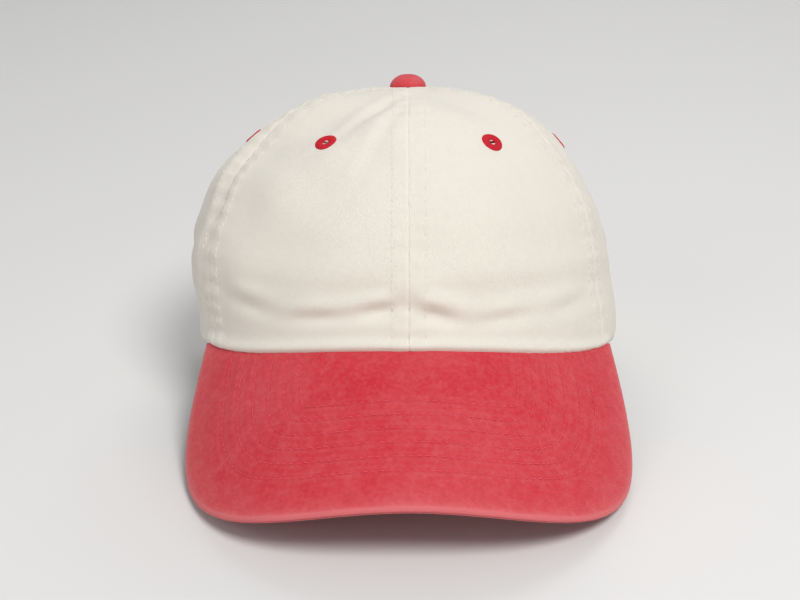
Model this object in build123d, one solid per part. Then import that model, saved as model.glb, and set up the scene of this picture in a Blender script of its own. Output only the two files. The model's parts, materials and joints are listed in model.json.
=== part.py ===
from build123d import *
import os
from math import acos, asin, atan2, cos, degrees, pi, radians, sin, sqrt

# A soft six-panel bump cap with a curved visor, an adjustable back strap and a removable hard insert.
# Millimetres.  The cap is drawn upright: Z up its axis, front towards -Y, Z = 0 where the visor joins.
# At the end the whole cap is tipped on to the surface it stands on.

# Crown
crown_radius = 95.0          # outside of the cloth at the hem
crown_height = 105.5         # from the visor seam to the top
plan_power = 2.2             # how square the dome's profile is, across
rise_power = 2.65            # and upwards
hem_drop = 5.5               # hem below the visor seam
cloth = 1.2
panel_count = 6
top_hole_radius = 2.6
tape_width = 14.0
tape_thickness = 0.8
profile_points = 15

# Sweatband and label
band_thickness = 1.6
band_top = 28.0
band_lift = 0.5              # above the hem
label_width = 26.0
label_bottom = 4.0
label_height = 16.0
label_thickness = 0.3
label_turn = 48.0            # from the centre back, degrees

# Visor
visor_length = 73.0          # along its slope at the centre
visor_half_width = 95.5
visor_slope = 40.5           # below the visor seam, degrees
visor_span = 66.0            # from the centre front to each end, degrees
visor_power = 3.5            # how square the outline is
board_thickness = 1.6
cover_thickness = 0.9
board_inset = 1.2
outline_points = 21
edge_samples = 200           # along each edge, to find where the cap rests

# Eyelets
eyelet_height = 82.0
eyelet_radius = 4.6
eyelet_hole_radius = 1.5
eyelet_barrel_radius = 2.4
eyelet_rise = 0.8

# Button
button_radius = 7.5
button_height = 5.6
button_cloth = 0.6
button_metal = 0.5
rivet_radius = 2.5
washer_radius = 6.0
washer_thickness = 0.7

# Back opening
opening_half_width = 38.0
opening_height = 47.0        # above the hem
binding_width = 7.0

# Strap
strap_width = 19.0
strap_thickness = 1.2
strap_bottom = 3.0
strap_gap = 0.4              # between the two layers
strap_clearance = 0.3        # between the strap and what it passes
fold_overlap = 1.0           # folded end short of the opening's edge
tuck_turn = 37.0             # end of the tail from the centre back, degrees
keeper_width = 7.0
keeper_wall = 0.7

# Buckle
buckle_half_length = 11.0
buckle_sheet = 1.0
buckle_side_gap = 0.4
buckle_rise = 5.6            # ears above the short strap's inner face
bar_radius = 1.0
bar_place = -8.0
loop_clearance = 0.2
pin_place = 7.0
pin_radius = 0.9
pin_clearance = 0.05
pin_proud = 0.3
pin_lift = 0.7               # pin raised so that the lever clears the strap's curve
lever_barrel_radius = 2.8
lever_length = 12.0
lever_sheet = 1.2
lever_side_gap = 0.5
lever_corner = 3.0
lip_radius = 0.9

# Insert
insert_gap = 3.0             # to the seam tapes
shell_thickness = 2.0
insert_front_edge = 32.0
insert_back_edge = 50.0
insert_top_hole = 5.0
vent_count = 10
vent_height = 68.0
vent_length = 22.0
vent_width = 8.0
port_count = 6
port_radius = 5.0
port_ring_radius = 42.0
pad_thickness = 7.0
crown_pad_radius = 32.0
crown_pad_hole = 9.0
front_pad_turn = 64.0        # degrees
front_pad_low = 38.0
front_pad_high = 54.0
side_pad_turn = 44.0         # degrees
side_pad_low = 46.0
side_pad_high = 60.0
back_pad_turn = 56.0         # degrees
back_pad_low = 51.0
back_pad_high = 59.0
tab_width = 24.0
tab_low = 48.0
tab_high = 64.0
hook_thickness = 1.0
tab_gap = 0.3

# Worked out from the sizes above
panel_turn = 360 / panel_count
inside = cloth + tape_thickness              # from the outside of the crown to the inside of a tape
insert_offset = inside + insert_gap
band_bottom = band_lift - hem_drop
strap_top = strap_bottom + strap_width
strap_middle = strap_bottom + strap_width / 2
tail_offset = inside + strap_thickness + strap_gap
arch_centre = opening_height - hem_drop - opening_half_width
end_depth = crown_radius * (1 - cos(radians(visor_span)))
end_sag = end_depth * sin(radians(visor_slope)) + hem_drop * cos(radians(visor_slope))
end_half_width = crown_radius * sin(radians(visor_span))
visor_radius = (end_half_width**2 + end_sag**2) / (2 * end_sag)
visor_start = (end_sag * sin(radians(visor_slope)) - end_depth) / cos(radians(visor_slope))
FRONT, BACK = -90, 90
FAR = 300.0                  # beyond every part of the cap


def dome_radius(offset, z):
    """Radius of the dome that lies offset inside the crown, at height z."""
    share = max(z, 0) / (crown_height - offset)
    return (crown_radius - offset) * (1 - share**rise_power) ** (1 / plan_power)


def dome_height(offset, radius):
    """Height of the dome that lies offset inside the crown, at a radius."""
    share = radius / (crown_radius - offset)
    return (crown_height - offset) * (1 - share**plan_power) ** (1 / rise_power)


def dome_curve(offset):
    """Edges up the dome from far below the hem to the hole at the top, in the XZ plane."""
    radius = crown_radius - offset
    height = crown_height - offset
    last = acos((top_hole_radius / radius) ** (plan_power / 2))
    points = []
    for i in range(profile_points):
        angle = last * i / (profile_points - 1)
        r = radius * cos(angle) ** (2 / plan_power)
        points.append((r, 0, height * sin(angle) ** (2 / rise_power)))
    rise = Spline(*points, tangents=((0, 0, 1), (-1, 0, 0)))
    return [Line((radius, 0, -FAR), points[0]), rise]


def dome_wall(offset, thickness, low, high=FAR, start=0.0, turn=360.0, hole=top_hole_radius):
    """A wall of the dome between two heights, turned about Z from start."""
    outer = dome_curve(offset)
    inner = dome_curve(offset + thickness)
    ends = [Line(outer[0] @ 0, inner[0] @ 0), Line(outer[1] @ 1, inner[1] @ 1)]
    section = make_face(Wire(outer + inner + ends))
    window = Pos(hole, low) * Rectangle(FAR, high - low, align=(Align.MIN, Align.MIN))
    return Rot(0, 0, start) * revolve(section & Plane.XZ * window, Axis.Z, turn)


def dome_core():
    """Everything inside the outer face of the crown, and below it."""
    rise = dome_curve(0)
    top = rise[1] @ 1
    ends = [Line(top, (0, 0, top.Z)), Line((0, 0, top.Z), (0, 0, -FAR)), Line((0, 0, -FAR), rise[0] @ 0)]
    return revolve(make_face(Wire(rise + ends)), Axis.Z)


def arch(margin):
    """The back opening as a bar along Y, grown by a margin."""
    radius = opening_half_width + margin
    along = (Align.CENTER, Align.CENTER, Align.MIN)
    round_top = Pos(0, 0, arch_centre) * Rot(-90, 0, 0) * Cylinder(radius, FAR, align=along)
    legs = Pos(0, 0, arch_centre) * Box(2 * radius, FAR, FAR, align=(Align.CENTER, Align.MIN, Align.MAX))
    return round_top + legs


def surface_plane(azimuth, height, offset=0.0):
    """A plane on the dome with its Z pointing straight out of the cloth."""
    step = 0.1
    radius = dome_radius(offset, height)
    lean = (dome_radius(offset, height + step) - dome_radius(offset, height - step)) / (2 * step)
    around = radians(azimuth)
    out = Vector(cos(around), sin(around), -lean)
    origin = (radius * cos(around), radius * sin(around), height)
    return Plane(origin=origin, x_dir=(-sin(around), cos(around), 0), z_dir=out)


def panel(number):
    """One gore of the crown, with its eyelet hole and its share of the back opening."""
    start = FRONT + panel_turn * number
    gore = dome_wall(0, cloth, -hem_drop, FAR, start, panel_turn)
    hole = surface_plane(start + panel_turn / 2, eyelet_height) * Cylinder(eyelet_barrel_radius, 6 * cloth)
    gore -= hole
    if start < BACK + panel_turn / 2 and start + panel_turn > BACK - panel_turn / 2:
        gore -= arch(0)
    return gore


def seam_tape(azimuth):
    """Tape over one seam, mitred to its neighbours at the top."""
    strip = dome_wall(cloth, tape_thickness, band_top, FAR, azimuth - panel_turn / 2, panel_turn)
    lane = Rot(0, 0, azimuth) * Box(FAR, tape_width, FAR, align=(Align.MIN, Align.CENTER, Align.MIN))
    strip &= lane
    if azimuth == BACK:
        strip -= arch(binding_width)
    return strip


def eyelet(number, panels):
    """A stitched ring on both faces of the cloth, with a short barrel between."""
    azimuth = FRONT + panel_turn * (number + 0.5)
    outer = Pos(0, 0, -cloth / 2) * Cylinder(eyelet_radius, cloth + 2 * eyelet_rise)
    ring = outer - Cylinder(eyelet_hole_radius, 8 * cloth)
    ring = fillet(ring.edges().filter_by(GeomType.CIRCLE).group_by(Axis.Z)[-1], eyelet_rise / 3)
    return surface_plane(azimuth, eyelet_height) * ring - panels[number]


def button_ball(inset):
    """The sphere that the button's dome is cut from, made smaller by an inset."""
    ball_radius = (button_radius**2 + button_height**2) / (2 * button_height)
    return Pos(0, 0, crown_height + button_height - ball_radius) * Sphere(ball_radius - inset)


def button_parts():
    """Covered button: cloth, metal cap, rivet and the washer inside the crown."""
    core = button_ball(button_cloth + button_metal)
    up = (Align.CENTER, Align.CENTER, Align.MIN)
    above = Pos(0, 0, crown_height) * Box(FAR, FAR, FAR, align=up)
    plate = Pos(0, 0, crown_height) * Box(FAR, FAR, button_metal, align=up)
    foot = dome_height(inside, washer_radius) - washer_thickness
    shank = Pos(0, 0, foot) * Cylinder(rivet_radius, crown_height - foot, align=up)
    washer = Pos(0, 0, foot) * Cylinder(washer_radius, washer_thickness, align=up)
    return {
        "button_cover": button_ball(0) - button_ball(button_cloth) & above,
        "button_cap": button_ball(button_cloth) - core & above,
        "button_rivet": (core & plate) + shank,
        "button_washer": washer - shank,
    }


def sweatband():
    band = dome_wall(cloth, band_thickness, band_bottom, band_top)
    return band - arch(binding_width)


def size_label():
    turn = degrees(label_width / crown_radius)
    return dome_wall(cloth + band_thickness, label_thickness, label_bottom, label_bottom + label_height,
                     BACK - label_turn - turn / 2, turn)


def back_binding():
    """Tape that binds the edge of the back opening."""
    top = opening_height - hem_drop + 2 * binding_width
    strip = dome_wall(cloth, tape_thickness, -hem_drop, top, BACK - panel_turn, 2 * panel_turn)
    return (strip & arch(binding_width)) - arch(0)


def visor_outline(inset):
    """Outline of the visor in its own plane, X across and -Y forwards."""
    half_width = visor_half_width - inset
    reach = visor_length - inset - visor_start
    tuck = 1 - (end_half_width - inset) / half_width
    points = []
    for i in range(outline_points):
        angle = pi * i / (outline_points - 1)
        across = cos(angle)
        ahead = sin(angle)
        spread = (abs(across) ** visor_power + ahead**visor_power) ** (1 / visor_power)
        across /= spread
        ahead /= spread
        x = half_width * across * (1 - tuck * (1 - ahead) ** 2)
        points.append((x, -visor_start - reach * ahead))
    curve = Spline(*points)
    return make_face(Wire([curve, Line(points[-1], points[0])]))


def visor_layer(low, high, inset):
    """A layer of the visor, low and high measured from its middle surface."""
    tray = Pos(0, 0, -visor_radius) * Rot(90, 0, 0)
    shell = tray * (Cylinder(visor_radius + high, 2 * FAR) - Cylinder(visor_radius + low, 2 * FAR))
    block = Pos(0, 0, -FAR / 2) * extrude(visor_outline(inset), FAR)
    place = Plane(origin=(0, -crown_radius, 0), x_dir=(1, 0, 0),
                  z_dir=(0, -sin(radians(visor_slope)), cos(radians(visor_slope))))
    return place * (shell & block) - dome_core()


def visor_parts():
    """Stiff board between a top cover, turned down over its edge, and an under cover."""
    half = board_thickness / 2
    board = visor_layer(-half, half, board_inset)
    top = visor_layer(-half, half + cover_thickness, 0) - board
    under = visor_layer(-half - cover_thickness, -half, 0)
    return {"visor_board": board, "visor_top_cover": top, "visor_under_cover": under}


def from_back(place):
    """Angle about Z of a point that lies to one side of the centre back."""
    return BACK - degrees(asin(place / (crown_radius - inside)))


def bar_y():
    """How far back the buckle's bar stands, so that the strap's loop clears the tail."""
    tail_face = sqrt((crown_radius - tail_offset) ** 2 - bar_place**2)
    return tail_face + strap_clearance + strap_thickness + loop_clearance + bar_radius


def strap_short():
    """Short strap on the wearer's right, sewn to the binding and looped round the buckle's bar."""
    low = from_back(bar_place)
    high = from_back(-opening_half_width - binding_width)
    strip = dome_wall(inside, strap_thickness, strap_bottom, strap_top, low, high - low)
    strip &= arch(binding_width)
    around = Pos(bar_place, bar_y(), strap_middle)
    bore = bar_radius + loop_clearance
    strip += around * Cylinder(bore + strap_thickness, strap_width)
    strip -= around * Cylinder(bore, 2 * strap_width)
    return strip


def strap_tail():
    """Long strap on the wearer's left, with a folded end sewn to the binding."""
    low = from_back(opening_half_width + binding_width)
    tail = dome_wall(tail_offset, strap_thickness, strap_bottom, strap_top, low, BACK + tuck_turn - low)
    fold_turn = from_back(opening_half_width + fold_overlap) - low
    fold = dome_wall(inside, strap_thickness + strap_gap, strap_bottom, strap_top, low, fold_turn)
    return tail + (fold & arch(binding_width))


def strap_keeper():
    """Small band inside the sweatband that the end of the tail tucks through."""
    start = cloth + band_thickness
    turn = degrees(keeper_width / crown_radius)
    middle = BACK + tuck_turn - turn
    depth = tail_offset + strap_thickness + strap_clearance + keeper_wall - start
    edge = strap_clearance + keeper_wall
    band = dome_wall(start, depth, strap_bottom - edge, strap_top + edge, middle - turn / 2, turn)
    slot_start = tail_offset - strap_clearance
    slot_depth = strap_thickness + 2 * strap_clearance
    slot = dome_wall(slot_start, slot_depth, strap_bottom - strap_clearance, strap_top + strap_clearance,
                     middle - turn, 2 * turn)
    return band - slot


def buckle_levels():
    """Y of the frame's back face, of its ears and of the lever's pin."""
    end_face = dome_radius(tail_offset + strap_thickness, strap_top)
    plate = sqrt(end_face**2 - buckle_half_length**2) - strap_clearance
    tail_face = sqrt((crown_radius - tail_offset) ** 2 - pin_place**2)
    pin = tail_face + strap_clearance + lever_barrel_radius + pin_lift
    ear_top = crown_radius - inside - strap_thickness + buckle_rise
    return plate, ear_top, pin


def buckle_frame():
    """Folded frame: a plate behind the strap, an ear above and below it, and a bar."""
    plate_y, ear_y, pin_y = buckle_levels()
    half = strap_width / 2 + buckle_side_gap
    length = 2 * buckle_half_length
    back = (Align.CENTER, Align.MAX, Align.CENTER)
    frame = Pos(0, plate_y, strap_middle) * Box(length, buckle_sheet, 2 * (half + buckle_sheet), align=back)
    for side in (-1, 1):
        ear = Box(length, ear_y - plate_y + buckle_sheet, buckle_sheet)
        ear = fillet(ear.edges().filter_by(Axis.Z).group_by(Axis.Y)[-1], buckle_rise / 2)
        middle_y = (ear_y + plate_y - buckle_sheet) / 2
        frame += Pos(0, middle_y, strap_middle + side * (half + buckle_sheet / 2)) * ear
    frame += Pos(bar_place, bar_y(), strap_middle) * Cylinder(bar_radius, 2 * half)
    frame -= Pos(pin_place, pin_y, strap_middle) * Cylinder(pin_radius + pin_clearance, 4 * half)
    return frame


def buckle_pin():
    pin_y = buckle_levels()[2]
    half = strap_width / 2 + buckle_side_gap + buckle_sheet + pin_proud
    return Pos(pin_place, pin_y, strap_middle) * Cylinder(pin_radius, 2 * half)


def buckle_lever():
    """Cam lever that lies flat over the strap when shut."""
    pin_y = buckle_levels()[2]
    height = strap_width + 2 * buckle_side_gap - 2 * lever_side_gap
    barrel = Cylinder(lever_barrel_radius, height)
    outward = (Align.MAX, Align.MAX, Align.CENTER)
    sheet = Pos(0, lever_barrel_radius, 0) * Box(lever_length, lever_sheet, height, align=outward)
    sheet = fillet(sheet.edges().filter_by(Axis.Y).group_by(Axis.X)[0], lever_corner)
    lip_y = lever_barrel_radius - lever_sheet / 2
    lip = Pos(-lever_length, lip_y, 0) * Cylinder(lip_radius, height / 2)
    lever = barrel + sheet + lip - Cylinder(pin_radius + pin_clearance, 2 * height)
    return Pos(pin_place, pin_y, strap_middle) * lever


def insert_shell():
    """Hard shell with slots round its sides and ports near its top."""
    shell = dome_wall(insert_offset, shell_thickness, insert_front_edge, hole=insert_top_hole)
    rise = insert_back_edge - insert_front_edge
    run = 2 * (crown_radius - insert_offset)
    slope = degrees(atan2(rise, run))
    middle = (insert_front_edge + insert_back_edge) / 2
    below = (Align.CENTER, Align.CENTER, Align.MAX)
    shell -= Pos(0, 0, middle) * Rot(slope, 0, 0) * Box(FAR, FAR, FAR, align=below)
    slot = extrude(SlotOverall(vent_length, vent_width), 5 * shell_thickness, both=True)
    for i in range(vent_count):
        azimuth = FRONT + 360 * (i + 0.5) / vent_count
        shell -= surface_plane(azimuth, vent_height, insert_offset) * Rot(0, 0, 90) * slot
    for i in range(port_count):
        around = radians(FRONT + 360 * i / port_count)
        port = Pos(port_ring_radius * cos(around), port_ring_radius * sin(around), 0)
        shell -= port * Cylinder(port_radius, 2 * FAR)
    return shell


def pad(azimuth, turn, low, high):
    return dome_wall(insert_offset + shell_thickness, pad_thickness, low, high, azimuth - turn / 2, turn)


def pads():
    """Foam under the shell: a ring at the crown and four round the sides."""
    offset = insert_offset + shell_thickness
    crown_low = dome_height(offset + pad_thickness, crown_pad_radius)
    crown = dome_wall(offset, pad_thickness, crown_low, hole=crown_pad_hole)
    crown &= Cylinder(crown_pad_radius, 2 * FAR)
    return {
        "crown_pad": crown,
        "front_pad": pad(FRONT, front_pad_turn, front_pad_low, front_pad_high),
        "left_pad": pad(0, side_pad_turn, side_pad_low, side_pad_high),
        "right_pad": pad(180, side_pad_turn, side_pad_low, side_pad_high),
        "back_pad": pad(BACK, back_pad_turn, back_pad_low, back_pad_high),
    }


def tab_set(offset, thickness):
    """Four fastening patches, between the seams."""
    turn = degrees(tab_width / crown_radius)
    starts = [middle + side * panel_turn / 2 - turn / 2 for middle in (FRONT, BACK) for side in (-1, 1)]
    return Compound([dome_wall(offset, thickness, tab_low, tab_high, start, turn) for start in starts])


def tabs():
    """Hook patches on the shell and loop patches on the crown, facing each other."""
    loop_thickness = insert_offset - cloth - hook_thickness - tab_gap
    return {
        "hook_tabs": tab_set(insert_offset - hook_thickness, hook_thickness),
        "loop_tabs": tab_set(cloth, loop_thickness),
    }


def whole_cap():
    """Every piece by name, upright."""
    names = ["front_panel_left", "side_panel_left", "back_panel_left",
             "back_panel_right", "side_panel_right", "front_panel_right"]
    panels = [panel(i) for i in range(panel_count)]
    pieces = dict(zip(names, panels))
    tape_names = ["front", "front_left", "back_left", "back", "back_right", "front_right"]
    for i, name in enumerate(tape_names):
        pieces["seam_tape_" + name] = seam_tape(FRONT + panel_turn * i)
    for i, name in enumerate(names):
        pieces["eyelet_" + name.replace("_panel", "")] = eyelet(i, panels)
    pieces.update(button_parts())
    pieces.update(visor_parts())
    pieces["sweatband"] = sweatband()
    pieces["size_label"] = size_label()
    pieces["back_binding"] = back_binding()
    pieces["strap_short"] = strap_short()
    pieces["strap_tail"] = strap_tail()
    pieces["strap_keeper"] = strap_keeper()
    pieces["buckle_frame"] = buckle_frame()
    pieces["buckle_pin"] = buckle_pin()
    pieces["buckle_lever"] = buckle_lever()
    pieces["insert_shell"] = insert_shell()
    pieces.update(pads())
    pieces.update(tabs())
    return pieces


def resting_tip(pieces):
    """Angle that brings the visor's edge down to the level of the hem beside the back opening."""
    heel_y = sqrt(crown_radius**2 - opening_half_width**2)
    steepest = 0.0
    for edge in pieces["visor_under_cover"].edges():
        for i in range(edge_samples + 1):
            point = edge @ (i / edge_samples)
            steepest = max(steepest, atan2(-hem_drop - point.Z, heel_y - point.Y))
    return degrees(steepest)


def report_joints(stand, tip):
    """Print where the joints lie once the cap stands on its surface."""
    place = stand * tip
    pin_y = buckle_levels()[2]
    pin = place * Pos(pin_place, pin_y, strap_middle)
    axis = tip * Pos(0, 0, -1)
    print("lever pin", pin.position, "axis and insert slide", axis.position)
    print("crown centre", place.position, "tip", -tip.orientation.X)


def main():
    os.makedirs("parts", exist_ok=True)
    pieces = whole_cap()
    tip = Rot(-resting_tip(pieces), 0, 0)
    pieces = {name: tip * piece for name, piece in pieces.items()}
    box = Compound(list(pieces.values())).bounding_box()
    stand = Pos(-(box.min.X + box.max.X) / 2, -(box.min.Y + box.max.Y) / 2, -box.min.Z)
    for name, piece in pieces.items():
        export_step(stand * piece, f"parts/{name}.step")
    report_joints(stand, tip)


main()
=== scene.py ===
import json
import math

import bpy
import numpy as np
from bpy.props import FloatProperty, FloatVectorProperty, IntProperty, PointerProperty
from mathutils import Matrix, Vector


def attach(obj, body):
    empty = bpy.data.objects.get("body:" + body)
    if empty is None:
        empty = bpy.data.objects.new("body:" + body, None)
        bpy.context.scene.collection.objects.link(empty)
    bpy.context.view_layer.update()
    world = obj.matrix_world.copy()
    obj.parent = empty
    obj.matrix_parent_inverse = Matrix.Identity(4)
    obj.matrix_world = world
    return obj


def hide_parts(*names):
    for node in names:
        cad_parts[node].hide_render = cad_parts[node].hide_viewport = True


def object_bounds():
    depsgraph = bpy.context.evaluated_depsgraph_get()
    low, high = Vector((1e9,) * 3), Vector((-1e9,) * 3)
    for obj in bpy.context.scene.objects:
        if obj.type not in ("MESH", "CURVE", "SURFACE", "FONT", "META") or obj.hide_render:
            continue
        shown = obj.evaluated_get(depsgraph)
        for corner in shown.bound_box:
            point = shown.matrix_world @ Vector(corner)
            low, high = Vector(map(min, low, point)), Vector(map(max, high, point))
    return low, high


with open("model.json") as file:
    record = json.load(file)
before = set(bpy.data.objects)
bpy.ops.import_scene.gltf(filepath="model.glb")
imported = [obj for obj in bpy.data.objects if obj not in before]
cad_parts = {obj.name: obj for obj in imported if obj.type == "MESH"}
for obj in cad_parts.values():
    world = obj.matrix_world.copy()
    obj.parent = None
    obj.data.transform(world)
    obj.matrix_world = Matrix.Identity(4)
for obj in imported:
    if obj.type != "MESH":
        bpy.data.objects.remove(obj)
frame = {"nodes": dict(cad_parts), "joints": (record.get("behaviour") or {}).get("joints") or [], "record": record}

bl_info = {
    "name": "Soft bump cap",
    "version": (1, 0, 0),
    "blender": (4, 5, 0),
    "location": "View3D > Sidebar > Bump cap",
    "description": "Builds the cloth, stitching, hardware finishes and stage of a soft bump cap",
    "category": "Object",
}

CAD_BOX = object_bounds()
SLIDE = next(j for j in frame["joints"] if j["name"] == "insert_slide")
HINGE = next(j for j in frame["joints"] if j["name"] == "buckle_lever_hinge")
HEAD = next(m for m in frame["record"]["mounts"] if m["name"] == "head_opening")

# The cap's own axes: X across, Y backwards, Z up the crown, with Z = 0 at the middle of the visor seam.
UP = -np.array(SLIDE["axis"]) / np.linalg.norm(SLIDE["axis"])
ACROSS = np.array([1.0, 0.0, 0.0])
BACKWARDS = np.cross(UP, ACROSS)
HEM_CENTRE = np.array(HEAD["pos_m"])
FRONT, BACK = -math.pi / 2, math.pi / 2
PANELS = 6
PANEL_TURN = 2 * math.pi / PANELS
PANEL_NAMES = ("front_panel_left", "side_panel_left", "back_panel_left",
               "back_panel_right", "side_panel_right", "front_panel_right")
SEAM_NAMES = ("front", "front_left", "back_left", "back", "back_right", "front_right")
LAYER_GAP = 0.0001  # between layers of cloth
DEEPEST_DENT = -0.0031  # from the plain dome, which keeps the soft cloth clear of the insert
SEED = 7


# ---------------------------------------------------------------- settings

def size(name, description, default):
    return FloatProperty(name=name, description=description, default=default, unit="LENGTH",
                         subtype="DISTANCE", precision=5)


def turn(name, description, degrees):
    return FloatProperty(name=name, description=description, default=math.radians(degrees), subtype="ANGLE")


def exponent(name, description, default):
    return FloatProperty(name=name, description=description, default=default)


def colour(name, description, default):
    return FloatVectorProperty(name=name, description=description, default=default, size=3,
                               min=0.0, max=1.0, subtype="COLOR")


class CrownSettings(bpy.types.PropertyGroup):
    """Sizes of the crown and of what is sewn to it"""
    radius: size("Radius", "Outside of the cloth at the hem", 0.095)
    height: size("Height", "From the visor seam to the top", 0.1055)
    hem_drop: size("Hem drop", "Hem below the visor seam", 0.0055)
    plan_power: exponent("Side fullness", "How square the profile is, across", 2.2)
    rise_power: exponent("Top fullness", "How square the profile is, upwards", 2.65)
    cloth: size("Cloth", "Thickness of the crown's cloth", 0.0011)
    tape_width: size("Tape width", "Width of the tape inside each seam", 0.014)
    tape: size("Tape", "Thickness of the seam tape", 0.0008)
    topstitch: size("Topstitch", "From a seam to its row of stitches", 0.0066)
    band: size("Sweatband", "Thickness of the sweatband", 0.0016)
    band_top: size("Sweatband top", "Top of the sweatband above the visor seam", 0.028)
    opening: size("Back opening", "Half the width of the back opening", 0.038)
    opening_height: size("Opening height", "Back opening above the hem", 0.047)
    eyelet_height: size("Eyelet height", "Eyelets above the visor seam", 0.082)
    eyelet: size("Eyelet", "Outer radius of an eyelet", 0.0047)
    button: size("Button", "Radius of the top button", 0.0081)
    button_height: size("Button height", "Height of the top button", 0.0056)


class VisorSettings(bpy.types.PropertyGroup):
    """Sizes of the visor"""
    length: size("Length", "Along its slope at the centre", 0.073)
    half_width: size("Half width", "Half its greatest width", 0.0955)
    slope: turn("Slope", "Below the visor seam", 40.5)
    span: turn("Span", "From the centre front to each end", 66.0)
    power: exponent("Squareness", "How square the outline is", 3.5)
    thickness: size("Thickness", "Board and both covers", 0.0034)
    rows: IntProperty(name="Rows", description="Rows of stitching", default=6)
    first_row: size("First row", "Outermost row from the edge", 0.0172)
    row_gap: size("Row gap", "Between rows", 0.0064)


class StrapSettings(bpy.types.PropertyGroup):
    """Sizes of the back strap"""
    width: size("Width", "Width of the strap", 0.019)
    thickness: size("Thickness", "Two layers of cloth", 0.0012)
    bottom: size("Bottom", "Lower edge above the visor seam", 0.003)
    gap: size("Gap", "Between the two straps where they overlap", 0.0004)
    tuck: turn("Tuck", "End of the tail from the centre back", 37.0)
    bar: size("Bar", "Buckle's bar from the centre back", -0.008)
    bar_radius: size("Bar radius", "Radius of the buckle's bar", 0.001)


class InsertSettings(bpy.types.PropertyGroup):
    """Sizes of the hard insert"""
    offset: size("Offset", "From the outside of the crown to the shell", 0.0050)
    shell: size("Shell", "Thickness of the shell", 0.002)
    pad: size("Pad", "Thickness of the foam", 0.007)
    front_edge: size("Front edge", "Shell's lower edge at the front", 0.032)
    back_edge: size("Back edge", "Shell's lower edge at the back", 0.050)


class FinishSettings(bpy.types.PropertyGroup):
    """Colours of the materials"""
    crown: colour("Crown", "Washed crown cloth", (0.78, 0.735, 0.645))
    red: colour("Red", "Deep areas of the dyed cloth", (0.60, 0.022, 0.036))
    faded: colour("Faded red", "Washed-out areas of the dyed cloth", (0.70, 0.155, 0.165))
    red_thread: colour("Red thread", "Visor stitching and eyelets", (0.20, 0.008, 0.014))
    cream_thread: colour("Cream thread", "Crown stitching", (0.80, 0.76, 0.68))
    tape: colour("Tape", "Cotton tape inside the crown", (0.72, 0.68, 0.60))
    brass: colour("Brass", "Buckle", (0.60, 0.42, 0.18))
    steel: colour("Steel", "Button's metal parts", (0.55, 0.55, 0.54))
    plastic: colour("Shell", "Hard insert", (0.030, 0.032, 0.036))
    foam: colour("Foam", "Pads of the insert", (0.060, 0.062, 0.068))
    floor: colour("Floor", "Surface the cap stands on", (0.74, 0.73, 0.71))


SETTINGS = {"cap_crown": CrownSettings, "cap_visor": VisorSettings, "cap_strap": StrapSettings,
            "cap_insert": InsertSettings, "cap_finish": FinishSettings}


# ---------------------------------------------------------------- shape of the crown

def to_row(points):
    """From the cap's own axes to the row frame."""
    hem_drop = bpy.context.scene.cap_crown.hem_drop
    raised = np.asarray(points) + np.array([0.0, 0.0, hem_drop])
    return raised @ np.array([ACROSS, BACKWARDS, UP]) + HEM_CENTRE


def smooth(value, low, high):
    share = np.clip((value - low) / (high - low), 0, 1)
    return share * share * (3 - 2 * share)


def soft_floor(value, floor):
    """Never below the floor, and rounded just above it."""
    rounding = 0.0004
    return floor + rounding * np.logaddexp(0, (value - floor) / rounding)


def bell(value, width):
    return np.exp(-(value / width) ** 2)


def wrapped(angle):
    return (angle + math.pi) % (2 * math.pi) - math.pi


def circle(count):
    """Angles evenly round a full turn."""
    return np.linspace(0, 2 * math.pi, count, endpoint=False)


# Folds and dents of the soft cloth: azimuth from the front in degrees (the wearer's left is positive),
# height, half length, half width, lean in degrees from level, and depth (a hollow is positive).
FOLDS = (
    (-34, 0.090, 0.024, 0.013, 35, 0.0030),
    (-17, 0.094, 0.026, 0.0035, 62, 0.0011),
    (-8, 0.088, 0.024, 0.0030, 74, 0.0008),
    (-52, 0.078, 0.020, 0.010, 70, 0.0016),
    (-61, 0.060, 0.030, 0.0045, 84, 0.0016),
    (-22, 0.0130, 0.013, 0.0028, 5, 0.0014),
    (-7, 0.0165, 0.009, 0.0030, 10, 0.0022),
    (6, 0.0150, 0.010, 0.0034, -16, 0.0026),
    (24, 0.0125, 0.014, 0.0030, 4, 0.0012),
    (45, 0.0150, 0.013, 0.0036, 8, 0.0011),
    (-44, 0.0160, 0.013, 0.0036, -10, 0.0013),
    (40, 0.093, 0.022, 0.010, -40, 0.0012),
    (70, 0.055, 0.030, 0.006, -76, 0.0010),
    (86, 0.030, 0.026, 0.005, -20, 0.0012),
    (-88, 0.032, 0.026, 0.005, 22, 0.0012),
    (112, 0.046, 0.024, 0.006, 40, 0.0014),
    (-118, 0.050, 0.028, 0.006, -45, 0.0014),
    (150, 0.070, 0.026, 0.007, -30, 0.0018),
    (-152, 0.064, 0.026, 0.007, 28, 0.0016),
    (172, 0.058, 0.018, 0.004, 8, 0.0012),
)


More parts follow.
